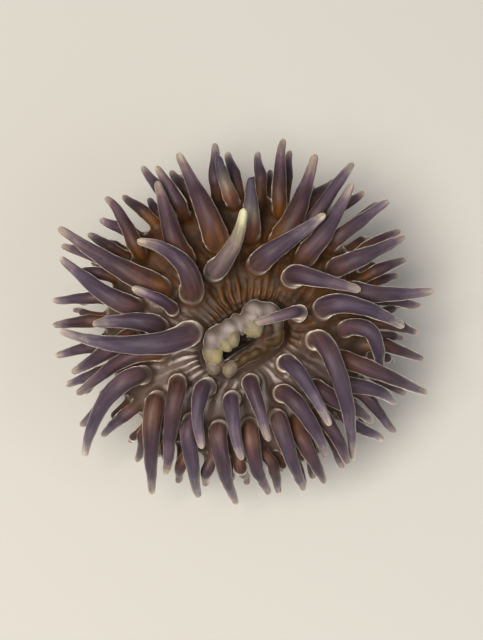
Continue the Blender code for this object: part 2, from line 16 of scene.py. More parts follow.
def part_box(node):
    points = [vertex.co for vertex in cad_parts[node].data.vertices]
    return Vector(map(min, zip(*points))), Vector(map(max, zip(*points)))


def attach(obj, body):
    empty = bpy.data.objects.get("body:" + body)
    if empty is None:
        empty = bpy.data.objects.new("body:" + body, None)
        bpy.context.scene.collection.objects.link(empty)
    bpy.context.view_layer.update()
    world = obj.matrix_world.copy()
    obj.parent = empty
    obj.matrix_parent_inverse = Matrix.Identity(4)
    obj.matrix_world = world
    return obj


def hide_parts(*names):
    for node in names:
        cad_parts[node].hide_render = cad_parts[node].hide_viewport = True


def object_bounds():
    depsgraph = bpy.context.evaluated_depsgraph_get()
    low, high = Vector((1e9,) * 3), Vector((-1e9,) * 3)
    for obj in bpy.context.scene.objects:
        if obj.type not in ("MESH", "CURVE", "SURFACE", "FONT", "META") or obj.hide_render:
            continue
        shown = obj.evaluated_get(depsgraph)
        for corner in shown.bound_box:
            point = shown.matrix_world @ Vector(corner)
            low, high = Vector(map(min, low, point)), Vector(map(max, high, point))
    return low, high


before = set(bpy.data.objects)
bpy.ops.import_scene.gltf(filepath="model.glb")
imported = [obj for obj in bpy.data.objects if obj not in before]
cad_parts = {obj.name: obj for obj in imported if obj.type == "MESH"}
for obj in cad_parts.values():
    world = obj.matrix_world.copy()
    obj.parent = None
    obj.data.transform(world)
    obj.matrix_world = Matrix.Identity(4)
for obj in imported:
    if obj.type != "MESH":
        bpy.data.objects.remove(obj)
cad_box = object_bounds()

MM = 0.001
UP = np.array([0.0, 0.0, 1.0])

# A direction that no tentacle starts along.
ASKEW = np.array([0.31, 0.77, 0.56])

# The crown: a low dome that turns down over a round shoulder.
DOME_RISE = 0.8
SHOULDER_START = 12.6
SHOULDER_RADIUS = 3.2
SHOULDER_END = 112.0
DISC_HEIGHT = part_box("oral_disc")[1].z / MM - DOME_RISE
SHOULDER_CENTRE = DISC_HEIGHT - SHOULDER_RADIUS

# How finely the skin is meshed: the body's sides, the rings under its foot, the steps up its
# side and round its shoulder, the disc's rings, and the sides and rings of each size of
# tentacle. The disc's last ring is CENTRE_RADIUS wide and runs past the mouth's middle line.
BODY_SEGMENTS = 280
SOLE_RADII = (0.5, 4.0, 8.0, 11.0)
COLUMN_STEP = 0.4
SHOULDER_STEP = 0.3
DISC_RINGS = 66
CENTRE_RADIUS = 0.22
CENTRE_OVERRUN = 0.3
TENTACLE_MESH = {"large": (20, 44), "upper": (18, 34), "medium": (16, 28), "small": (14, 22)}

# How the solids are read. Corners closer than WELD are one, and faces are flat together
# where the cosine between them is over FLAT. A tube's end has CAP_CORNERS corners within
# CAP_UNEVEN of a circle, and those of a ring along it lie within a share of its radius.
WELD = 0.002
FLAT = 0.9999
CAP_CORNERS = 6
CAP_UNEVEN = 0.002
RING_UNEVEN = 0.12

# The blunt end of an outer tentacle's solid has a larger radius than this in each size.
LEAST_CAP = {"large": 0.3, "upper": 0.2575, "medium": 0.237, "small": 0.0}
SMALLNESS = {"large": 0.0, "upper": 0.35, "medium": 0.6, "small": 1.0}

# The foot of each tentacle sinks into the crown and flares out by a share of its radius,
# over a length that is a share of it too. The solid's rings near the foot are left out, and
# an outer tentacle starts a little fuller than its solid. The last ring is narrower than
# the one before, and the tip is round over TIP_ROUNDING of that radius. The rings are
# crowded towards both ends.
SINK = 0.9
FLARE = 0.3
FLARE_REACH = 0.5
FOOT_CLEARANCE = 0.36
OUTER_FULLNESS = 1.03
TIP_NARROWING = 0.88
TIP_ROUNDING = 1.7
TIP_POINT = 0.0004
RING_CROWDING = 0.09

# Each tentacle is a little slimmer than its solid, and swells and narrows along its length.
# A swell is a wavelength and a depth, here a share of the radius.
SLIMNESS = 0.975
LONG_SWELL = (3.0, 0.05)
SHORT_SWELL = (1.1, 0.018)

# How far out a tentacle's pigment takes over from the disc's, how much its grain is
# stretched along it, and how far apart two tentacles' grain is, so that they aren't alike.
STEM_LENGTH = 1.5
GRAIN_STRETCH = 0.22
GRAIN_APART = 7.0
BODY_GRAIN_STRETCH = 0.3

# The side where the tentacles lie out flat is warmer than the side where they droop: from
# one place to another on the crown, and between two directions from the mouth on the disc.
TENTACLE_NORTH = (-6.0, 9.0)
DISC_NORTH = (-0.3, 0.5)
NORTH_TURN = 0.35

# Folds run up the column, small creases cross them, and lobes edge the foot. Each comes in
# between two heights, and the folds and lobes fade out between two more. They wander by a
# swell, in radians, that has a wavelength and is taken round a ring of radius GRAIN.
FOLDS = 48
FOLD_DEPTH = 0.10
FOLD_LENGTH = 9.0
FOLD_GRAIN = 6.0
FOLD_WANDER = 1.4
FOLD_STARTS = (1.2, 3.0)
FOLD_FADES = (9.5, 11.5)
FOLD_LOSS = 0.6
CREASE_LENGTH = 1.3
CREASE_STRETCH = 0.35
CREASE_DEPTH = 0.05
CREASE_STARTS = (0.9, 2.0)
FOOT_LOBES = 24
FOOT_LOBE_DEPTH = 0.22
FOOT_LOBE_LENGTH = 12.0
FOOT_LOBE_GRAIN = 9.0
FOOT_LOBE_WANDER = 1.5
FOOT_LOBE_STARTS = (0.05, 0.4)
FOOT_LOBE_FADES = (1.0, 2.2)
SOLE_EDGE = 0.3
UNDER_SHOULDER = 0.75

# Ridges of the disc start outside the furrow and fade towards the shoulder. They wander by
# a slow and a quick swell, in radians, and differ in depth. Finer ridges, so many to each,
# lie among them, and rolls cross them.
RIDGES = 46
RIDGE_DEPTH = 0.16
RIDGE_FLATNESS = 1.5
RIDGE_START = 0.5
RIDGE_FADES = (8.5, 12.0)
RIDGE_LOSS = 0.6
RIDGE_EVENNESS = 0.75
RIDGE_CHANGE = 0.35
RIDGE_CHANGE_LENGTH = 3.5
SLOW_WANDER = (6.0, 2.6)
QUICK_WANDER = (2.4, 0.9)
FINE_RIDGES = 1.7
FINE_RIDGE_SHARE = 0.3
FINE_RIDGE_WANDER = 2.0
ROLL_LENGTH = 2.6
ROLL_DEPTH = 0.07

# The furrow round the lips, deepest and with the darkest painted shade on the mouth's full
# side, and the least share of its depth and of its painted shade on the other.
FURROW_OUTSIDE_LIPS = 0.3
FURROW_DEPTH = 0.55
FURROW_WIDTH = 0.42
FURROW_SIDE = (-2.0, 0.8)
LEAST_FURROW = 0.35
LEAST_FURROW_SHADE = 0.5

# The floor between the lips rises inside the furrow, with low rolls. A slit is open at one
# end of it, with walls and painted shade between two distances from its line, and a mound
# closes the other end.
MOUTH_FLOOR = 0.9
MOUTH_EDGE = (0.1, 0.9)
MOUTH_ROLL_LENGTH = 1.5
MOUTH_ROLL_DEPTH = 0.16
SLIT_ENDS = (-3.2, 0.2)
SLIT_ASIDE = -0.25
SLIT_WALL = (0.15, 0.85)
SLIT_SHADE = (0.5, 1.3)
PIT_DEPTH = 0.8
MOUND_START = 0.6
MOUND_SLOPE = 0.6
MOUND_HEIGHT = 1.9
MOUND_EDGE = (2.4, 0.8)

# The soft ring of the lips: full on one side, lower and thinner on the other. LIP_LINE is
# where its middle line runs, as a share of the half width, and LIP_MOTTLE the length of the
# patches of painted highlight on its crest.
LIP_SHARE = 0.62
LIP_SIDES = 22
LIP_STEPS = 8
LIP_DROP = 0.6
LIP_FULL_SIDE = (-1.9, 1.1)
LIP_LINE = 0.6
LIP_CREST_TURN = 0.5
LONG_LIP_SWELL = (2.2, 0.1)
SHORT_LIP_SWELL = (1.0, 0.03)
LIP_MOTTLE = 1.8
LIP_LEAST_PALE = 0.25

# Fleshy lobes that hang from the lips. Each row: place along and across the mouth, height
# over the disc, half length, half width, half height, turn in degrees and paleness.
LIP_LOBES = (
    (-4.2, 0.4, 2.0, 1.30, 1.05, 0.90, 114, 1.0),
    (-4.9, -0.7, 1.1, 1.05, 0.75, 0.65, 100, 0.15),
    (-2.3, 0.75, 2.1, 1.25, 0.72, 0.95, 82, 1.0),
    (-1.1, 0.75, 2.1, 1.30, 0.74, 0.98, 52, 0.75),
    (1.5, 0.7, 2.1, 1.60, 1.10, 1.00, 66, 0.7),
    (-3.3, -2.0, 1.1, 1.05, 0.85, 0.75, 0, 0.4),
    (-0.7, -1.9, 0.9, 0.65, 0.42, 0.50, 10, 0.45),
)

# A lobe is meshed all round from pole to pole, and is broader at one end. It has painted
# shade below, and is palest at its far end, between two heights and two places as shares of
# its half size.
LOBE_SIDES = 36
LOBE_RINGS = 20
LOBE_POLE = 0.05
LOBE_BULGE = 0.22
LONG_LOBE_SWELL = (1.6, 0.10)
SHORT_LOBE_SWELL = (0.7, 0.05)
LOBE_SHADE = 0.8
LOBE_SHADE_EDGE = (0.35, -0.25)
LOBE_PALE_EDGE = (0.4, -1.0)
LOBE_LEAST_PALE = 0.45

# A random swell is WAVES sines added up, whose lengths are spread over a range of shares.
WAVES = 5
WAVE_SPREAD = (0.7, 1.5)

# Seeds of everything drawn by chance. A tentacle adds its own number to the last three.
SEEDS = {
    "fold": 3,
    "crease": 4,
    "foot": 5,
    "wander": 21,
    "fine_wander": 22,
    "roll": 23,
    "ridge_depth": 24,
    "mouth_roll": 26,
    "lip": 33,
    "lobe": 34,
    "fine_lip": 35,
    "lip_mottle": 36,
    "fine_lobe": 37,
    "swell": 100,
    "fine_swell": 200,
    "tint": 500,
}

# Shapes are united in batches of shapes that stay BATCH_CLEARANCE apart, judged from one
# point in BATCH_THINNING. A point of the united mesh that lies NEW_POINT or more from every
# shape's own points is on a seam. Seams relax, and so do the points up to SEAM_REACH steps
# from them, with a weight that keeps SEAM_KEEP at each step. The paint relaxes too.
BATCH_CLEARANCE = 0.7
BATCH_THINNING = 5
NEW_POINT = 0.004
SEAM_REACH = 6
SEAM_KEEP = 0.84
SEAM_LEAST = 0.3
SEAM_ROUNDS = 16
SEAM_STRENGTH = 0.5
LIP_SEAM_LOSS = 0.75
PAINT_ROUNDS = 6
PAINT_STRENGTH = 0.6
PAINT_LEAST = 0.15

# Tentacles that differ from the rest: bleached to the tip, or ash grey at the tip.
PALE_TENTACLES = ("inner_tentacle_02",)
ASH_TENTACLES = ("middle_tentacle_04", "margin_01_6")

# What the skin carries at every point for its material, 0 where a shape doesn't set it.
PAINTS = ("along", "stem", "tint", "size", "north", "bleach", "ash")
# The furrow value is painted shade: in the furrow, the mouth's pit and under the lobes. On the
# lips, the ridge value is a painted highlight.
PAINTS += ("ridge", "lip", "cream", "furrow", "grain_x", "grain_y", "grain_z")

# The camera looks down from almost straight above, at a height over the floor. The frame's
# width is measured where it aims.
CAMERA_ELEVATION = 81.0
CAMERA_AIM = 14.0
FRAME_WIDTH = 57.0
FRAME_TALLNESS = 640.0 / 483.0
LENS = 80.0
SENSOR = 36.0

# Soft lights, in metres: name, place, width, power in watts and colour.
LIGHTS = (
    ("key", (-0.14, -0.08, 0.44), 0.26, 4.1, "#fffaf2"),
    ("fill", (0.30, -0.16, 0.26), 0.30, 0.7, "#f4f6ff"),
)
LIGHT_AIM = (0.0, 0.0, 0.012)
FLOOR_HALF_WIDTH = 1.5


# ---------------------------------------------------------------- small tools


def smooth(low, high, value):
    """0 at low, 1 at high and beyond, and an easy curve between."""
    share = np.clip((value - low) / (high - low), 0.0, 1.0)
    return share * share * (3.0 - 2.0 * share)


def at_least(least, share):
    """A share from 0 to 1 drawn together to run from the least to 1."""
    return least + (1.0 - least) * share


def unit(vector):
    return vector / max(np.linalg.norm(vector), 1e-9)


def waves(points, wavelength, seed):
    """Smooth random swell, about -1 to 1, with features as long as the wavelength."""
    draw = np.random.default_rng(seed)
    total = np.zeros(points.shape[:-1])
    for _ in range(WAVES):
        direction = unit(draw.normal(size=3))
        turns = direction * 2.0 * math.pi / (wavelength * draw.uniform(*WAVE_SPREAD))
        total = total + np.sin(points @ turns + draw.uniform(0.0, 2.0 * math.pi))
    return total / (WAVES / 2.0)


def swells(points, long_swell, long_seed, short_swell, short_seed):
    """A long and a short random swell together, each a wavelength and a depth."""
    slow = waves(points, long_swell[0], long_seed) * long_swell[1]
    return slow + waves(points, short_swell[0], short_seed) * short_swell[1]


def full_turn(count):
    return np.linspace(0.0, 2.0 * math.pi, count, endpoint=False)


def lengths_along(points):
    steps = np.linalg.norm(np.diff(points, axis=0), axis=1)
    return np.concatenate([[0.0], np.cumsum(steps)])


def spline(knots, stations, wanted):
    """Values at the wanted stations on a smooth curve through the knots."""
    knots = np.asarray(knots, float)
    slopes = np.gradient(knots, stations, axis=0)
    index = np.clip(np.searchsorted(stations, wanted, side="right") - 1, 0, len(knots) - 2)
    span = (stations[index + 1] - stations[index])[:, None]
    t = (wanted - stations[index])[:, None] / span
    start, end = knots[index], knots[index + 1]
    leave, arrive = slopes[index] * span, slopes[index + 1] * span
    curve = (2 * t**3 - 3 * t**2 + 1) * start + (t**3 - 2 * t**2 + t) * leave
    return curve + (3 * t**2 - 2 * t**3) * end + (t**3 - t**2) * arrive


# ---------------------------------------------------------------- reading the solids


def welded(name):
    """The node's mesh with its split corners joined, in millimetres."""
    cage = bmesh.new()
    cage.from_mesh(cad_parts[name].data)
    bmesh.ops.remove_doubles(cage, verts=cage.verts, dist=WELD * MM)
    bmesh.ops.scale(cage, vec=(1.0 / MM,) * 3, verts=cage.verts)
    cage.normal_update()
    return cage


def corners_of(name):
    """All the corners of a node, in millimetres."""
    cage = welded(name)
    points = np.array([vert.co for vert in cage.verts])
    cage.free()
    return points


def flat_patch(face, done):
    """The corners of the flat patch that a face belongs to."""
    stack = [face]
    done.add(face)
    patch = set()
    while stack:
        here = stack.pop()
        patch.update(here.verts)
        for edge in here.edges:
            for other in edge.link_faces:
                if other not in done and other.normal.dot(here.normal) > FLAT:
                    done.add(other)
                    stack.append(other)
    return patch


def ring_size(ring):
    """A ring's centre, its radius and how much the radius varies."""
    points = np.array([vert.co for vert in ring])
    centre = points.mean(axis=0)
    spans = np.linalg.norm(points - centre, axis=1)
    return centre, spans.mean(), spans.std()


def end_caps(cage):
    """The regular flat ends of the tubes in a mesh, the thinnest first."""
    done = set()
    caps = []
    for face in cage.faces:
        if face in done:
            continue
        patch = flat_patch(face, done)
        if len(patch) == CAP_CORNERS:
            _, radius, uneven = ring_size(patch)
            if uneven < CAP_UNEVEN:
                caps.append((radius, patch))
    return sorted(caps, key=lambda cap: cap[0])


def rings_from(cap):
    """Ring centres and radii from a tube's tip towards its root, and where it ends."""
    seen = set(cap)
    ring = set(cap)
    rings = []
    while ring:
        centre, radius, uneven = ring_size(ring)
        if len(ring) != len(cap) or uneven > RING_UNEVEN * radius:
            return rings, centre
        rings.append((centre, radius))
        ring = {edge.other_vert(vert) for vert in ring for edge in vert.link_edges} - seen
        seen |= ring
    return rings, rings[-1][0]


def read_large(name):
    """A large tentacle's rings from root to tip, from one node or from its two lengths."""
    rings = []
    lengths = [name.removesuffix("_root") + "_tip", name] if name.endswith("_root") else [name]
    for length in lengths:
        cage = welded(length)
        rings += rings_from(end_caps(cage)[0][1])[0]
        cage.free()
    return rings[::-1]


def read_outer(name):
    """Size, rings and root of each tentacle that is joined to a piece of the margin."""
    cage = welded(name)
    found = []
    for radius, cap in end_caps(cage):
        if radius < LEAST_CAP["large"]:
            size = next(size for size, least in LEAST_CAP.items() if radius > least)
            rings, root = rings_from(cap)
            found.append((size, rings[::-1], root))
    cage.free()
    return found


def read_tentacles():
    """Every tentacle of the solids: name, size, rings from root to tip and root."""
    found = []
    for name in sorted(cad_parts):
        if "tentacle" in name and not name.endswith("_tip"):
            rings = read_large(name)
            found.append((name.removesuffix("_root"), "large", rings, rings[0][0]))
        elif name.startswith("margin"):
            outer = read_outer(name)
            found += [(f"{name}_{number}", *each) for number, each in enumerate(outer)]
    return found


def read_profile(name):
    """(radius, height) of a turned node's rings, from the bottom up."""
    rings = {(round(math.hypot(x, y), 2), round(z, 2)) for x, y, z in corners_of(name)}
    return sorted(rings, key=lambda ring: ring[1])


def read_lips():
    """Middle, long axis, cross axis and half lengths of the lips, and their corners."""
    points = corners_of("mouth_lips")
    plan = points[:, :2] - points[:, :2].mean(axis=0)
    _, axes = np.linalg.eigh(plan.T @ plan)
    along = np.append(axes[:, 1], 0.0) * np.sign(axes[1, 1])
    across = np.cross(UP, along)
    spans = np.column_stack([points @ along, points @ across])
    middle = (spans.max(axis=0) + spans.min(axis=0)) / 2.0
    half = np.ptp(spans, axis=0) / 2.0
    return along * middle[0] + across * middle[1], along, across, half[0], half[1], points


# ---------------------------------------------------------------- crown surface


def dome(radius):
    """Height of the disc at a distance from its middle."""
    return DISC_HEIGHT + DOME_RISE * (1.0 - (radius / SHOULDER_START) ** 2)


def crown_point(point):
    """The nearest point of the crown's surface to a point by it, and the way out there."""
    radius = math.hypot(point[0], point[1])
    away = np.array([point[0], point[1], 0.0]) / max(radius, 1e-6)
    if radius <= SHOULDER_START:
        normal = unit(away * 2.0 * DOME_RISE * radius / SHOULDER_START**2 + UP)
        return away * radius + UP * dome(radius), normal
    centre = away * SHOULDER_START + UP * SHOULDER_CENTRE
    normal = unit(np.asarray(point) - centre)
    return centre + normal * SHOULDER_RADIUS, normal


def shoulder(angle):
    """Radius and height of the shoulder at an angle from straight up, in radians."""
    radius = SHOULDER_START + SHOULDER_RADIUS * math.sin(angle)
    return radius, SHOULDER_CENTRE + SHOULDER_RADIUS * math.cos(angle)


MOUTH, ALONG, ACROSS, HALF_LENGTH, HALF_WIDTH, LIP_CORNERS = read_lips()
STRAIGHT = HALF_LENGTH - HALF_WIDTH
FURROW_LINE = HALF_WIDTH + FURROW_OUTSIDE_LIPS


def from_mouth(points):
    """Distance of plan points from the mouth's straight middle line."""
    offset = points - MOUTH
    along = np.maximum(np.abs(offset @ ALONG) - STRAIGHT, 0.0)
    return np.hypot(along, offset @ ACROSS)


def from_slit(points):
    """Distance of plan points from the open slit's middle line."""
    offset = points - MOUTH
    along = offset @ ALONG
    beyond = along - np.clip(along, *SLIT_ENDS)
    return np.hypot(beyond, offset @ ACROSS - SLIT_ASIDE)


def furrow_depth(away):
    """1 along the furrow's line and 0 away from it."""
    return np.exp(-(((away - FURROW_LINE) / FURROW_WIDTH) ** 2))


# ---------------------------------------------------------------- swept and turned shapes


def grid_faces(rows, columns, closed_rows=False):
    """Quads of a grid whose rows are closed rings of vertices."""
    below = np.arange((rows if closed_rows else rows - 1) * columns).reshape(-1, columns)
    above = (below + columns) % (rows * columns)
    quads = np.stack([below, np.roll(below, -1, 1), np.roll(above, -1, 1), above], axis=-1)
    return quads.reshape(-1, 4).tolist()


def capped(rows):
    """Vertices and faces of a closed shape from rings of points, fanned shut at both ends."""
    count, columns = rows.shape[:2]
    points = np.vstack([rows.reshape(-1, 3), rows[0].mean(axis=0), rows[-1].mean(axis=0)])
    first, last = count * columns, count * columns + 1
    around = range(columns)
    low = [((i + 1) % columns, i, first) for i in around]
    start = (count - 1) * columns
    high = [(start + i, start + (i + 1) % columns, last) for i in around]
    return points, grid_faces(count, columns) + low + high


def axes_across(points):
    """Two axes across a curve at each point, which don't twist along it."""
    tangents = np.gradient(points, axis=0)
    tangents = tangents / np.linalg.norm(tangents, axis=1)[:, None]
    side = unit(np.cross(tangents[0], ASKEW))
    sides = []
    for tangent in tangents:
        side = unit(side - tangent * (side @ tangent))
        sides.append(side)
    sides = np.array(sides)
    return sides, np.cross(tangents, sides)


class Shape:
    """A closed part of the skin before it is united: points, faces and what paints it."""

    def __init__(self, points, faces, paint):
        self.points = points
        self.faces = faces
        self.paint = {name: np.broadcast_to(paint.get(name, 0.0), len(points)) for name in PAINTS}


# ---------------------------------------------------------------- tentacles


def sweep_line(surface, normal, root_radius, rings, count):
    """Places along a tentacle, closest at its ends: point, radius, share of the radius that
    the rounding of the tip leaves, and length out from the crown."""
    kept = [ring for ring in rings if np.linalg.norm(ring[0] - surface) > FOOT_CLEARANCE]
    centres = [surface - normal * SINK, surface] + [ring[0] for ring in kept]
    radii = [root_radius] * 2 + [ring[1] for ring in kept]
    radii[-1] = radii[-2] * TIP_NARROWING
    stations = lengths_along(np.array(centres))
    length = stations[-1]
    share = np.linspace(0.0, 1.0, count)
    wanted = length * (share - RING_CROWDING * np.sin(2.0 * math.pi * share))
    points = spline(centres, stations, wanted)
    thick = spline(np.array(radii)[:, None], stations, wanted)[:, 0]
    flare = np.exp(-np.maximum(wanted - SINK, 0.0) / (FLARE_REACH * root_radius))
    thick = thick * (1.0 + FLARE * flare)
    left = np.clip((length - wanted) / (radii[-1] * TIP_ROUNDING), 0.0, 1.0)
    thick = thick * np.sqrt(np.maximum(1.0 - (1.0 - left) ** 2, TIP_POINT))
    return points, thick, left, wanted - SINK


def tentacle(number, name, size, rings, root):
    """One tentacle along its solid's rings, with a flared root and a round tip."""
    sides, count = TENTACLE_MESH[size]
    surface, normal = crown_point(root)
    root_radius = rings[0][1] * (1.0 if size == "large" else OUTER_FULLNESS)
    line, thick, left, out = sweep_line(surface, normal, root_radius, rings, count)
    side, cross = axes_across(line)
    angles = full_turn(sides)
    cosines = np.cos(angles)[None, :, None]
    sines = np.sin(angles)[None, :, None]
    way = cosines * side[:, None] + sines * cross[:, None]
    even = line[:, None] + way * thick[:, None, None]
    long_seed, short_seed = SEEDS["swell"] + number, SEEDS["fine_swell"] + number
    swell = swells(even, LONG_SWELL, long_seed, SHORT_SWELL, short_seed)
    girth = thick[:, None] * (SLIMNESS + swell * left[:, None])
    points, faces = capped(line[:, None] + way * girth[:, :, None])
    every = np.append(np.repeat(out, sides), [out[0], out[-1]])
    angle = np.append(np.tile(angles, count), [0.0, 0.0])
    paint = {
        "along": np.clip(every / out[-1], 0.0, 1.0),
        "stem": smooth(0.0, STEM_LENGTH, every),
        "tint": np.random.default_rng(SEEDS["tint"] + number).uniform(0.0, 1.0),
        "size": SMALLNESS[size],
        "north": smooth(*TENTACLE_NORTH, surface[1]),
        "bleach": 1.0 if name in PALE_TENTACLES else 0.0,
        "ash": 1.0 if name in ASH_TENTACLES else 0.0,
        "grain_x": np.cos(angle) * root_radius + number * GRAIN_APART,
        "grain_y": np.sin(angle) * root_radius,
        "grain_z": every * GRAIN_STRETCH,
    }
    return Shape(points, faces, paint)


# ---------------------------------------------------------------- body


def column_profile():
    """The side of the body as (radius, height), from the foot's edge up to the shoulder.

    The top ring of the foot and that of the column are left out, so that the flesh runs
    smoothly over the gaps between the solids.
    """
    foot = read_profile("pedal_disc")
    column = read_profile("column")
    margin, underside = shoulder(math.radians(SHOULDER_END))
    neck = ((column[-1][0] + margin) / 2.0, underside - UNDER_SHOULDER)
    knots = np.array(foot[:-1] + column[:-1] + [neck, (margin, underside)])
    stations = lengths_along(knots)
    wanted = np.linspace(0.0, stations[-1], int(stations[-1] / COLUMN_STEP))
    return spline(knots, stations, wanted)


def column_ring(radius, height, around, way):
    """One ring of the body's side, and how far each of its points is up a fold."""
    wander = waves(way * FOLD_GRAIN + UP * height, FOLD_LENGTH, SEEDS["fold"]) * FOLD_WANDER
    fold = np.cos(around * FOLDS + wander) * smooth(*FOLD_STARTS, height)
    fold = fold * (1.0 - FOLD_LOSS * smooth(*FOLD_FADES, height))
    crease = waves(way * radius * CREASE_STRETCH + UP * height, CREASE_LENGTH, SEEDS["crease"])
    crease = crease * smooth(*CREASE_STARTS, height)
    wander = waves(way * FOOT_LOBE_GRAIN, FOOT_LOBE_LENGTH, SEEDS["foot"]) * FOOT_LOBE_WANDER
    lobe = np.cos(around * FOOT_LOBES + wander) * smooth(*FOOT_LOBE_STARTS, height)
    lobe = lobe * (1.0 - smooth(*FOOT_LOBE_FADES, height))
    inward = FOLD_DEPTH * (1.0 - fold) / 2.0 + CREASE_DEPTH * (1.0 - crease) / 2.0
    inward = (inward + FOOT_LOBE_DEPTH * (1.0 - lobe) / 2.0) * smooth(0.0, SOLE_EDGE, height)
    return way * (radius - inward)[:, None] + UP * max(height, 0.0), fold


def disc_ring(share, around):
    """One ring of the disc, round at the shoulder and long and narrow at the mouth."""
    half_across = CENTRE_RADIUS + (SHOULDER_START - CENTRE_RADIUS) * share
    half_along = half_across + (STRAIGHT + CENTRE_OVERRUN) * (1.0 - share)
    turn = around - math.atan2(ALONG[1], ALONG[0])
    plan = np.outer(np.cos(turn) * half_along, ALONG)
    plan = plan + np.outer(np.sin(turn) * half_across, ACROSS) + MOUTH * (1.0 - share)
    height, ridge = disc_relief(plan, turn)
    return plan * [1.0, 1.0, 0.0] + UP * height[:, None], ridge


def disc_ridges(plan, turn):
    """Wandering ridges that run out from the mouth, -1 in a groove and 1 on a crest."""
    wander = swells(plan, SLOW_WANDER, SEEDS["wander"], QUICK_WANDER, SEEDS["fine_wander"])
    depth = RIDGE_EVENNESS + RIDGE_CHANGE * waves(plan, RIDGE_CHANGE_LENGTH, SEEDS["ridge_depth"])
    fine = FINE_RIDGE_SHARE * np.cos(turn * FINE_RIDGES * RIDGES + FINE_RIDGE_WANDER * wander)
    return np.clip(RIDGE_FLATNESS * (np.cos(turn * RIDGES + wander) * depth + fine), -1.0, 1.0)


def disc_relief(plan, turn):
    """Height of the disc at plan points, and how far each is up a ridge."""
    away = from_mouth(plan)
    radius = np.hypot(plan[:, 0], plan[:, 1])
    side = (plan - MOUTH) @ ACROSS
    ridge = disc_ridges(plan, turn)
    ridge_shown = smooth(FURROW_LINE, FURROW_LINE + RIDGE_START, away)
    ridge_shown = ridge_shown * (1.0 - RIDGE_LOSS * smooth(*RIDGE_FADES, radius))
    roll = ROLL_DEPTH * waves(plan, ROLL_LENGTH, SEEDS["roll"])
    height = dome(radius) + (RIDGE_DEPTH * ridge + roll) * ridge_shown
    fuller = at_least(LEAST_FURROW, smooth(*FURROW_SIDE, side))
    height = height - fuller * FURROW_DEPTH * furrow_depth(away)
    between = smooth(*MOUTH_EDGE, FURROW_LINE - away)
    height = height + MOUTH_FLOOR * between
    closed = smooth(-MOUND_SLOPE, MOUND_SLOPE, (plan - MOUTH) @ ALONG - MOUND_START)
    height = height + (MOUND_HEIGHT - MOUTH_FLOOR) * closed * smooth(*MOUND_EDGE, away)
    roll = waves(plan, MOUTH_ROLL_LENGTH, SEEDS["mouth_roll"])
    height = height + MOUTH_ROLL_DEPTH * between * roll
    pit = 1.0 - smooth(*SLIT_WALL, from_slit(plan))
    return height - (PIT_DEPTH + MOUTH_FLOOR) * pit, ridge * ridge_shown


def painted_furrow_shade(points):
    """Painted shade: 1 in the furrow round the lips and in the mouth's pit, 0 elsewhere."""
    fuller = at_least(LEAST_FURROW_SHADE, smooth(*FURROW_SIDE, (points - MOUTH) @ ACROSS))
    furrow = furrow_depth(from_mouth(points)) * fuller
    return np.maximum(furrow, 1.0 - smooth(*SLIT_SHADE, from_slit(points)))


def body_rings(around):
    """The rings of the body with their ridge marks, from under the foot to the mouth's pit."""
    way = np.column_stack([np.cos(around), np.sin(around), 0.0 * around])
    plain = np.zeros(len(around))
    rings = [(way * radius, plain) for radius in SOLE_RADII]
    rings += [column_ring(*ring, around, way) for ring in column_profile()]
    steps = int(math.radians(SHOULDER_END) * SHOULDER_RADIUS / SHOULDER_STEP)
    for angle in np.radians(np.linspace(SHOULDER_END, 0.0, steps, endpoint=False))[1:]:
        radius, height = shoulder(angle)
        rings.append((way * radius + UP * height, plain))
    return rings + [disc_ring(share, around) for share in np.linspace(1.0, 0.0, DISC_RINGS)]


def build_body():
    """The body turned from its profile, with column folds, disc ridges, furrow and pit."""
    rings = body_rings(full_turn(BODY_SEGMENTS))
    points, faces = capped(np.array([ring for ring, _ in rings]))
    ridge = np.append(np.concatenate([mark for _, mark in rings]), [0.0, 0.0])
    spread = points[:, :2] - MOUTH[:2]
    spread = spread / np.maximum(np.linalg.norm(spread, axis=1), 1e-6)[:, None]
    paint = {
        "tint": 0.5,
        "north": smooth(*DISC_NORTH, spread[:, 1] + NORTH_TURN * spread[:, 0]),
        "ridge": ridge,
        # Painted shade in the furrow round the lips and in the mouth's pit.
        "furrow": np.where(points[:, 2] > SHOULDER_CENTRE, painted_furrow_shade(points), 0.0),
        "grain_x": points[:, 0],
        "grain_y": points[:, 1],
        "grain_z": points[:, 2] * BODY_GRAIN_STRETCH,
    }
    return Shape(points, faces, paint)


# ---------------------------------------------------------------- lips


def lip_rings():
    """The middle line and radius of the lips, as closed rings in lap order."""
    offset = LIP_CORNERS - MOUTH
    across = offset @ ACROSS
    along = offset @ ALONG
    straight = np.clip(along, -STRAIGHT, STRAIGHT)
    bend = np.arctan2(across, along - straight)
    width = HALF_WIDTH * LIP_LINE
    left = across > 0.0
    lap = np.where(left, STRAIGHT - straight, 3.0 * STRAIGHT + math.pi * width + straight)
    turned = np.where(left, bend - math.pi / 2.0, bend + math.pi / 2.0)
    turned = np.where(np.abs(along) > STRAIGHT, turned, 0.0)
    lap = lap + turned * width
    order = np.argsort(lap % (4.0 * STRAIGHT + 2.0 * math.pi * width))
    rings = LIP_CORNERS[order].reshape(-1, CAP_CORNERS, 3)
    centres = rings.mean(axis=1)
    return centres, np.linalg.norm(rings - centres[:, None], axis=2).mean(axis=1)


def lip_path():
    """The lips' middle line and radius at many places, all the way round."""
    centres, radii = lip_rings()
    count = len(centres)
    knots = np.vstack([centres[-3:], centres, centres[:4]])
    girths = np.concatenate([radii[-3:], radii, radii[:4]])[:, None]
    stations = np.arange(-3, count + 4).astype(float)
    wanted = np.arange(count * LIP_STEPS) / LIP_STEPS
    return spline(knots, stations, wanted), spline(girths, stations, wanted)[:, 0]


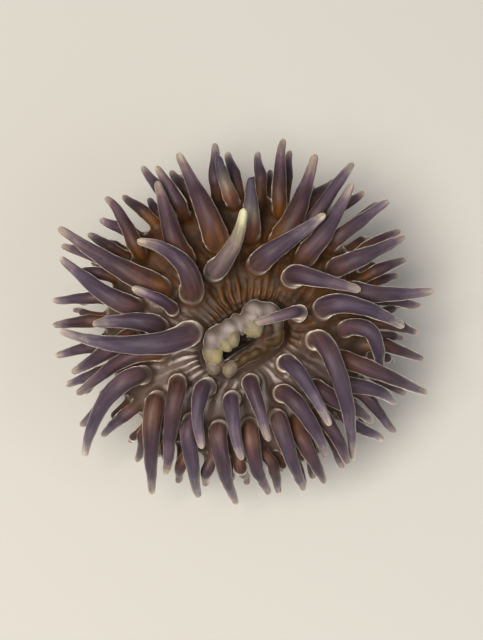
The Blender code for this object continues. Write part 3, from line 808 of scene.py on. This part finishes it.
def build_lips():
    """A closed soft ring, full and high on the mouth's full side and low on the other."""
    path, solid = lip_path()
    full = smooth(*LIP_FULL_SIDE, (path - MOUTH) @ ACROSS)
    tangent = np.roll(path, -1, axis=0) - np.roll(path, 1, axis=0)
    tangent = tangent / np.linalg.norm(tangent, axis=1)[:, None]
    away = np.cross(tangent, UP)
    angles = full_turn(LIP_SIDES)
    thick = solid * at_least(LIP_SHARE, full)
    way = np.cos(angles)[None, :, None] * away[:, None] + np.sin(angles)[None, :, None] * UP
    rows = path[:, None] + way * thick[:, None, None]
    rows = rows - UP * (solid * (1.0 - full) * LIP_DROP)[:, None, None]
    swell = swells(rows, LONG_LIP_SWELL, SEEDS["lip"], SHORT_LIP_SWELL, SEEDS["fine_lip"])
    points = (rows + way * swell[:, :, None]).reshape(-1, 3)
    # The crest is 1 on the top of the ring and 0 below. Its cube, in patches, is a painted
    # highlight, and it also makes the ring lilac on top and browner lower down.
    crest = np.tile(np.sin(angles - LIP_CREST_TURN) * 0.5 + 0.5, len(path))
    full = np.repeat(full, LIP_SIDES)
    paint = lip_paint(points, full * at_least(LIP_LEAST_PALE, crest))
    mottled = 0.5 + 0.5 * waves(points, LIP_MOTTLE, SEEDS["lip_mottle"])
    # On the lips the ridge value is a painted highlight along the crest, in patches.
    paint["ridge"] = crest**3 * mottled * full
    return Shape(points, grid_faces(len(path), LIP_SIDES, closed_rows=True), paint)


def lip_paint(points, full):
    x, y, z = points.T
    return {"tint": 0.5, "lip": 1.0, "north": full, "grain_x": x, "grain_y": y, "grain_z": z}


def lip_lobe(along, across, lift, half_long, half_wide, half_tall, turn, pale):
    """A soft flattened lobe, palest at the end that hangs over the slit, with painted shade
    below.
    """
    plan = MOUTH + ALONG * along + ACROSS * across
    centre = plan + UP * (dome(math.hypot(plan[0], plan[1])) + lift)
    turn = math.radians(turn)
    lengthwise = ALONG * math.cos(turn) + ACROSS * math.sin(turn)
    breadthwise = np.cross(UP, lengthwise)
    around = full_turn(LOBE_SIDES)
    polar = np.linspace(LOBE_POLE, math.pi - LOBE_POLE, LOBE_RINGS)[:, None]
    x = np.sin(polar) * np.cos(around) * half_long
    y = np.sin(polar) * np.sin(around) * half_wide * (1.0 - LOBE_BULGE * np.cos(around))
    z = np.cos(polar) * half_tall * np.ones(LOBE_SIDES)
    rows = centre + x[..., None] * lengthwise + y[..., None] * breadthwise + z[..., None] * UP
    swell = swells(rows, LONG_LOBE_SWELL, SEEDS["lobe"], SHORT_LOBE_SWELL, SEEDS["fine_lobe"])
    rows = rows + (rows - centre) / half_long * swell[..., None]
    points, faces = capped(rows)
    over = smooth(*LOBE_PALE_EDGE, (points - centre) @ lengthwise / half_long)
    under = smooth(*LOBE_SHADE_EDGE, (points - centre) @ UP / half_tall)
    paint = lip_paint(points, 1.0)
    paint["cream"] = pale * at_least(LOBE_LEAST_PALE, over)
    # Painted shade on the lobe's underside.
    paint["furrow"] = LOBE_SHADE * under
    return Shape(points, faces, paint)


# ---------------------------------------------------------------- one skin


def mesh_of(name, shapes):
    """One Blender mesh, in metres, of several closed shapes with their faces outward."""
    points = np.vstack([shape.points for shape in shapes]) * MM
    faces = []
    start = 0
    for shape in shapes:
        faces += [tuple(start + corner for corner in face) for face in shape.faces]
        start += len(shape.points)
    mesh = bpy.data.meshes.new(name)
    mesh.from_pydata(points.tolist(), [], faces)
    cage = bmesh.new()
    cage.from_mesh(mesh)
    bmesh.ops.recalc_face_normals(cage, faces=cage.faces)
    bmesh.ops.triangulate(cage, faces=cage.faces)
    cage.to_mesh(mesh)
    cage.free()
    return mesh


def apart(points, others):
    """Whether two sets of points stay clear of each other."""
    return np.linalg.norm(points[:, None] - others[None], axis=2).min() > BATCH_CLEARANCE


def batches(shapes):
    """Sorts shapes into batches in which no two come near each other."""
    groups = []
    for shape in shapes:
        for group in groups:
            thinned = shape.points[::BATCH_THINNING]
            if all(apart(thinned, other.points[::BATCH_THINNING]) for other in group):
                group.append(shape)
                break
        else:
            groups.append([shape])
    return groups


def object_of(name, mesh):
    made = bpy.data.objects.new(name, mesh)
    bpy.context.scene.collection.objects.link(made)
    return made


def unite(body, groups):
    """The body with every group of shapes united into one closed mesh."""
    skin = object_of("anemone_skin", mesh_of("anemone_skin", [body]))
    helpers = []
    for index, group in enumerate(groups):
        helpers.append(object_of(f"joined_{index}", mesh_of("joined", group)))
        union = skin.modifiers.new(f"Join {index}", "BOOLEAN")
        union.operation = "UNION"
        union.solver = "MANIFOLD"
        union.object = helpers[-1]
    bpy.context.view_layer.update()
    graph = bpy.context.evaluated_depsgraph_get()
    mesh = bpy.data.meshes.new_from_object(skin.evaluated_get(graph))
    skin.modifiers.clear()
    skin.data = mesh
    for helper in helpers:
        bpy.data.objects.remove(helper, do_unlink=True)
    return skin


def paint_from(shapes, points):
    """Paint values at skin points from the nearest source point, and how far it lies."""
    source = np.vstack([shape.points for shape in shapes])
    tree = kdtree.KDTree(len(source))
    for index, point in enumerate(source):
        tree.insert(point, index)
    tree.balance()
    hits = [tree.find(point)[1:] for point in points]
    nearest = np.array([hit[0] for hit in hits])
    distance = np.array([hit[1] for hit in hits])
    paint = {name: np.concatenate([shape.paint[name] for shape in shapes]) for name in PAINTS}
    return {name: values[nearest] for name, values in paint.items()}, distance


def settle(values, edges, weight, rounds, strength):
    """Relaxes rows of values towards their neighbours' where the weight is high."""
    count = np.bincount(edges.reshape(-1), minlength=len(values))[:, None]
    for _ in range(rounds):
        total = np.zeros_like(values)
        np.add.at(total, edges[:, 0], values[edges[:, 1]])
        np.add.at(total, edges[:, 1], values[edges[:, 0]])
        values = values + (total / np.maximum(count, 1) - values) * (weight * strength)[:, None]
    return values


def seam_weight(distance, on_lips, edges):
    """1 at the points that a union made, less at their neighbours, and little on the lips."""
    weight = (distance > NEW_POINT).astype(float)
    for _ in range(SEAM_REACH):
        reach = weight.copy()
        np.maximum.at(reach, edges[:, 0], weight[edges[:, 1]] * SEAM_KEEP)
        np.maximum.at(reach, edges[:, 1], weight[edges[:, 0]] * SEAM_KEEP)
        weight = reach
    return np.where(weight > SEAM_LEAST, weight, 0.0) * (1.0 - LIP_SEAM_LOSS * on_lips)


def soften(mesh, shapes):
    """Relaxes the seams of the united mesh, and paints it from the shapes it came from."""
    points = np.empty(len(mesh.vertices) * 3)
    mesh.vertices.foreach_get("co", points)
    points = points.reshape(-1, 3) / MM
    edges = np.empty(len(mesh.edges) * 2, int)
    mesh.edges.foreach_get("vertices", edges)
    edges = edges.reshape(-1, 2)
    paint, distance = paint_from(shapes, points)
    seam = seam_weight(distance, paint["lip"], edges)
    points = settle(points, edges, seam, SEAM_ROUNDS, SEAM_STRENGTH)
    mesh.vertices.foreach_set("co", (points * MM).reshape(-1))
    for name, values in paint.items():
        if not name.startswith("grain"):
            weight = np.maximum(seam, PAINT_LEAST)
            values = settle(values[:, None], edges, weight, PAINT_ROUNDS, PAINT_STRENGTH)[:, 0]
        layer = mesh.attributes.new(name, "FLOAT", "POINT")
        layer.data.foreach_set("value", values.astype(np.float32))
    mesh.update()


def grow_skin():
    """The whole animal as one closed mesh, with soft joins and its paint values."""
    body = build_body()
    lips = build_lips()
    growths = [lip_lobe(*row) for row in LIP_LOBES]
    growths += [tentacle(number, *each) for number, each in enumerate(read_tentacles())]
    skin = unite(body, [[lips]] + batches(growths))
    soften(skin.data, [body, lips] + growths)
    for polygon in skin.data.polygons:
        polygon.use_smooth = True
    return skin


# ---------------------------------------------------------------- flesh


def linear(colour):
    """An sRGB hex colour as linear RGBA."""
    channels = [int(colour[i : i + 2], 16) / 255.0 for i in (1, 3, 5)]
    return [c / 12.92 if c <= 0.04045 else ((c + 0.055) / 1.055) ** 2.4 for c in channels] + [1.0]


USED_OUTPUTS = {
    "ShaderNodeTexCoord": "Object",
    "ShaderNodeAttribute": "Fac",
    "ShaderNodeMix": 2,
    "ShaderNodeSeparateXYZ": "Z",
}
NOISE = "ShaderNodeTexNoise"
MATH = "ShaderNodeMath"
RAMP = "ShaderNodeValToRGB"
MIX = "ShaderNodeMix"
COLOUR = {"data_type": "RGBA"}
MULTIPLIED = {"data_type": "RGBA", "blend_type": "MULTIPLY"}


def add(tree, kind, values=None, links=None, stops=(), **settings):
    """Adds a node with its settings, input values, links and, on a ramp, colour stops.

    A value may be a hex colour. A link comes from another node's first output, or from the
    one that USED_OUTPUTS names for its kind. A colour mix has its share at input 0 and its
    colours at 6 and 7.
    """
    node = tree.nodes.new(kind)
    for name, value in settings.items():
        setattr(node, name, value)
    for socket, value in (values or {}).items():
        node.inputs[socket].default_value = linear(value) if isinstance(value, str) else value
    for socket, source in (links or {}).items():
        named = USED_OUTPUTS.get(source.bl_idname, 0)
        tree.links.new(source.outputs[named], node.inputs[socket])
    for index, (place, colour) in enumerate(stops):
        if index > 1:
            node.color_ramp.elements.new(place)
        node.color_ramp.elements[index].position = place
        node.color_ramp.elements[index].color = linear(colour)
    return node


def per_mm(size):
    """Texture scale at which a pattern repeats about once in this many millimetres."""
    return 1.0 / (size * MM)


# Sizes of the patterns in the flesh: clouds of pigment, streaks along a tentacle (whose
# grain is already in millimetres) and grains of tissue. Then how much each one darkens, and
# the height and strength of the relief.
CLOUD_SIZE = 2.2
STREAK_WIDTH = 0.625
GRAIN_SIZE = 0.16
PATCH_SHADE = 0.5
STREAK_SHADE = 0.75
GRAIN_SHADE = 0.25
STREAK_RELIEF = (0.12, 0.3)
GRAIN_RELIEF = (0.06, 0.2)

# How far light spreads inside the flesh, and how high the column's own pigment reaches: its
# colours are spread over COLUMN_HEIGHT and end at COLUMN_END of it, under the shoulder.
LIGHT_SPREAD = 0.5
COLUMN_HEIGHT = 12.0
COLUMN_END = 1.1

# How far pigment wanders along a tentacle, as a share of its length, and what makes one
# tentacle warmer than another: chance, a small size and the side that it grows on.
PIGMENT_WANDER = 0.32
WARMTH = {"tint": 0.75, "size": 0.3, "north": 0.3}

# Pigment along a tentacle from root to tip: (share of its length, colour).
LILAC = [
    (0.00, "#7a5d4c"),
    (0.10, "#5e4648"),
    (0.28, "#463846"),
    (0.58, "#463b4b"),
    (0.78, "#685c6a"),
    (0.92, "#9c908d"),
    (1.00, "#c0b3a2"),
]
UMBER = [
    (0.00, "#805117"),
    (0.14, "#684119"),
    (0.32, "#452a20"),
    (0.55, "#3b2730"),
    (0.78, "#5f4b52"),
    (0.92, "#918175"),
    (1.00, "#b7a68c"),
]
BLEACHED = [
    (0.0, "#6a5c5c"),
    (0.3, "#5b4b4b"),
    (0.58, "#6c5c54"),
    (0.8, "#a09a7e"),
    (1.0, "#cfcda6"),
]
ASHEN = [
    (0.0, "#7a5030"),
    (0.3, "#6b4438"),
    (0.52, "#75685a"),
    (0.66, "#4a4248"),
    (1.0, "#3f3b45"),
]

# Pigment of the disc in the grooves and on the ridges, of the column from the foot up, and
# what the patterns take off: (place on the pattern, colour). Then the single colours.
WARM_GROOVE = [(0.35, "#241200"), (0.65, "#452603")]
WARM_RIDGE = [(0.35, "#47290a"), (0.7, "#694a2a")]
PALE_RIDGE = [(0.35, "#9a8b86"), (0.7, "#c8bcb6")]
COLUMN = [(0.0, "#9a8468"), (0.15, "#84674c"), (0.7, "#644534"), (1.0, "#55382c")]
STREAKY = [(0.3, "#8f8f8f"), (0.7, "#ffffff")]
PATCHY = [(0.3, "#a0a0a0"), (0.7, "#ffffff")]
GRAINY = [(0.35, "#a8a8a8"), (0.65, "#ffffff")]
PALE_GROOVE = "#4c3c33"
# Painted shade, near black, for the furrow, the mouth's pit and the lobes' undersides:
FURROW_PAINTED_SHADE = "#160e04"
LIP_BROWN = "#3a2910"
LIP_LILAC = "#584d47"
# Painted highlight on the lips' crest:
LIP_PAINTED_HIGHLIGHT = "#8a7f7a"
LOBE_CREAM = "#7d7350"
FOLD_BUFF = "#ab9577"
FOLD_PALENESS = 0.35


def tentacle_pigment(tree, paint, cloud, streak):
    """Purple to umber, tentacle by tentacle, dark along its length and pale at its tip, with
    a few bleached or ashen ones, and streaks along all of them."""
    shift = add(tree, MATH, {1: 0.5}, {0: cloud}, operation="SUBTRACT")
    shift = add(tree, MATH, {1: PIGMENT_WANDER}, {0: shift}, operation="MULTIPLY")
    moved = add(tree, MATH, None, {0: paint["along"], 1: shift}, operation="ADD")
    warm = add(tree, MATH, {1: WARMTH["tint"]}, {0: paint["tint"]}, operation="MULTIPLY")
    for name in ("size", "north"):
        links = {0: paint[name], 2: warm}
        warm = add(tree, MATH, {1: WARMTH[name]}, links, operation="MULTIPLY_ADD")
    lilac = add(tree, RAMP, None, {0: moved}, LILAC)
    umber = add(tree, RAMP, None, {0: moved}, UMBER)
    skin = add(tree, MIX, None, {0: warm, 6: lilac, 7: umber}, clamp_factor=True, **COLOUR)
    for name, stops in (("bleach", BLEACHED), ("ash", ASHEN)):
        odd = add(tree, RAMP, None, {0: moved}, stops)
        skin = add(tree, MIX, None, {0: paint[name], 6: skin, 7: odd}, **COLOUR)
    shade = add(tree, RAMP, None, {0: streak}, STREAKY)
    return add(tree, MIX, {0: STREAK_SHADE}, {6: skin, 7: shade}, **MULTIPLIED)


def disc_pigment(tree, paint, cloud, ridges_and_highlight):
    """Dark amber, with pale lilac-grey ridges on the side where the tentacles droop."""
    groove = add(tree, RAMP, None, {0: cloud}, WARM_GROOVE)
    groove = add(tree, MIX, {6: PALE_GROOVE}, {0: paint["north"], 7: groove}, **COLOUR)
    warm = add(tree, RAMP, None, {0: cloud}, WARM_RIDGE)
    pale = add(tree, RAMP, None, {0: cloud}, PALE_RIDGE)
    ridge = add(tree, MIX, None, {0: paint["north"], 6: pale, 7: warm}, **COLOUR)
    return add(tree, MIX, None, {0: ridges_and_highlight, 6: groove, 7: ridge}, **COLOUR)


def lip_pigment(tree, paint, ridges_and_highlight):
    """Lilac-grey on the full side and brown on the other, with a painted highlight on the crest
    and cream-olive lobes.
    """
    flank = add(tree, MIX, {6: LIP_BROWN, 7: LIP_LILAC}, {0: paint["north"]}, **COLOUR)
    # Painted highlight: the lips' crest is mixed towards a pale grey.
    flank = add(tree, MIX, {7: LIP_PAINTED_HIGHLIGHT}, {0: ridges_and_highlight, 6: flank}, **COLOUR)
    return add(tree, MIX, {7: LOBE_CREAM}, {0: paint["cream"], 6: flank}, **COLOUR)


def column_pigment(tree, height, cloud, ridges_and_highlight):
    """Buff brown, paler towards the foot, in patches, with pale folds."""
    column = add(tree, RAMP, None, {0: height}, COLUMN)
    patchy = add(tree, RAMP, None, {0: cloud}, PATCHY)
    column = add(tree, MIX, {0: PATCH_SHADE}, {6: column, 7: patchy}, **MULTIPLIED)
    fold = add(tree, MATH, {1: FOLD_PALENESS}, {0: ridges_and_highlight}, operation="MULTIPLY")
    return add(tree, MIX, {7: FOLD_BUFF}, {0: fold, 6: column}, **COLOUR)


def body_pigment(tree, paint, place, cloud):
    """The column below, the disc and lips above, and shade painted in furrows and under lobes."""
    # On the lips this is a painted highlight; on the disc and column it marks real ridges and
    # folds.
    ridges_and_highlight = add(tree, MATH, {1: 0.0}, {0: paint["ridge"]}, operation="MAXIMUM")
    disc = disc_pigment(tree, paint, cloud, ridges_and_highlight)
    lips = lip_pigment(tree, paint, ridges_and_highlight)
    crown = add(tree, MIX, None, {0: paint["lip"], 6: disc, 7: lips}, **COLOUR)
    # Painted shade: the crown turns near black where the furrow value is high.
    crown = add(tree, MIX, {7: FURROW_PAINTED_SHADE}, {0: paint["furrow"], 6: crown}, **COLOUR)
    height = add(tree, "ShaderNodeSeparateXYZ", None, {0: place})
    height = add(tree, MATH, {1: COLUMN_HEIGHT * MM}, {0: height}, operation="DIVIDE")
    column = column_pigment(tree, height, cloud, ridges_and_highlight)
    above = add(tree, MATH, {1: COLUMN_END}, {0: height}, operation="GREATER_THAN")
    return add(tree, MIX, None, {0: above, 6: column, 7: crown}, **COLOUR)


def relief(tree, grains, streak):
    """Grains of tissue, and low streaks along the tentacles over them."""
    bump = None
    for pattern, (height, strength) in ((grains, GRAIN_RELIEF), (streak, STREAK_RELIEF)):
        links = {"Height": pattern, "Normal": bump} if bump else {"Height": pattern}
        values = {"Strength": strength, "Distance": height * MM}
        bump = add(tree, "ShaderNodeBump", values, links)
    return bump


def flesh():
    """Sea-anemone flesh, as it grows: soft wet tissue, slightly clear, so that a dark core
    of pigment shows through a pale outer skin that catches the light along every edge."""
    material = bpy.data.materials.new("wet_anemone_flesh")
    material.use_nodes = True
    tree = material.node_tree
    tree.nodes.clear()
    paint = {name: add(tree, "ShaderNodeAttribute", attribute_name=name) for name in PAINTS}
    place = add(tree, "ShaderNodeTexCoord")
    links = {"X": paint["grain_x"], "Y": paint["grain_y"], "Z": paint["grain_z"]}
    length = add(tree, "ShaderNodeCombineXYZ", None, links)

    values = {"Scale": per_mm(CLOUD_SIZE), "Detail": 3.0, "Roughness": 0.55}
    cloud = add(tree, NOISE, values, {"Vector": place})
    values = {"Scale": 1.0 / STREAK_WIDTH, "Detail": 2.0, "Roughness": 0.5}
    streak = add(tree, NOISE, values, {"Vector": length})
    values = {"Scale": per_mm(GRAIN_SIZE), "Detail": 2.0}
    grains = add(tree, NOISE, values, {"Vector": place})

    body = body_pigment(tree, paint, place, cloud)
    skin = tentacle_pigment(tree, paint, cloud, streak)
    colour = add(tree, MIX, None, {0: paint["stem"], 6: body, 7: skin}, **COLOUR)
    shade = add(tree, RAMP, None, {0: grains}, GRAINY)
    colour = add(tree, MIX, {0: GRAIN_SHADE}, {6: colour, 7: shade}, **MULTIPLIED)
    values = {
        "Roughness": 0.55,
        "IOR": 1.36,
        "Specular IOR Level": 0.35,
        "Subsurface Weight": 0.3,
        "Subsurface Radius": (1.0, 0.55, 0.6),
        "Subsurface Scale": LIGHT_SPREAD * MM,
        "Sheen Weight": 1.0,
        "Sheen Roughness": 0.23,
        "Sheen Tint": "#fff0dc",
    }
    links = {"Base Color": colour, "Normal": relief(tree, grains, streak)}
    shader = add(tree, "ShaderNodeBsdfPrincipled", values, links)
    add(tree, "ShaderNodeOutputMaterial", None, {"Surface": shader})
    return material


# ---------------------------------------------------------------- studio


def paper():
    """Plain matt studio paper: a pale, even grey that takes a soft shadow and no shine."""
    material = bpy.data.materials.new("pale_studio_paper")
    material.use_nodes = True
    shader = material.node_tree.nodes["Principled BSDF"]
    shader.inputs["Base Color"].default_value = linear("#9f9c96")
    shader.inputs["Roughness"].default_value = 0.9
    return material


def build_floor():
    mesh = bpy.data.meshes.new("studio_floor")
    cage = bmesh.new()
    bmesh.ops.create_grid(cage, x_segments=2, y_segments=2, size=FLOOR_HALF_WIDTH)
    cage.to_mesh(mesh)
    cage.free()
    floor = object_of("studio_floor", mesh)
    mesh.materials.append(paper())


def softbox(name, place, width, power, colour):
    """A square soft light that faces the animal."""
    light = bpy.data.lights.new(name, "AREA")
    light.shape = "SQUARE"
    light.size = width
    light.energy = power
    light.color = linear(colour)[:3]
    lamp = object_of(name, light)
    lamp.location = place
    lamp.rotation_euler = (Vector(LIGHT_AIM) - Vector(place)).to_track_quat("-Z", "Y").to_euler()


def build_studio():
    build_floor()
    world = bpy.data.worlds.new("pale_room")
    bpy.context.scene.world = world
    world.use_nodes = True
    background = world.node_tree.nodes["Background"]
    background.inputs["Color"].default_value = linear("#e6e6e6")
    background.inputs["Strength"].default_value = 0.46
    for light in LIGHTS:
        softbox(*light)
    bpy.context.scene.view_settings.view_transform = "Standard"


def build_camera():
    """Close overhead, tipped a little towards the viewer's side."""
    camera = bpy.data.cameras.new("camera")
    camera.lens = LENS
    camera.sensor_width = SENSOR
    camera.clip_start = 0.005
    rig = object_of("camera", camera)
    low, high = cad_box
    target = Vector(((low.x + high.x) / 2.0, (low.y + high.y) / 2.0, CAMERA_AIM * MM))
    elevation = math.radians(CAMERA_ELEVATION)
    back = Vector((0.0, -math.cos(elevation), math.sin(elevation)))
    rig.location = target + back * FRAME_WIDTH * MM * FRAME_TALLNESS * LENS / SENSOR
    rig.rotation_euler = (-back).to_track_quat("-Z", "Y").to_euler()
    bpy.context.scene.camera = rig


skin = grow_skin()
skin.data.materials.clear()
skin.data.materials.append(flesh())
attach(skin, "root")
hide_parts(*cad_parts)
build_studio()
build_camera()
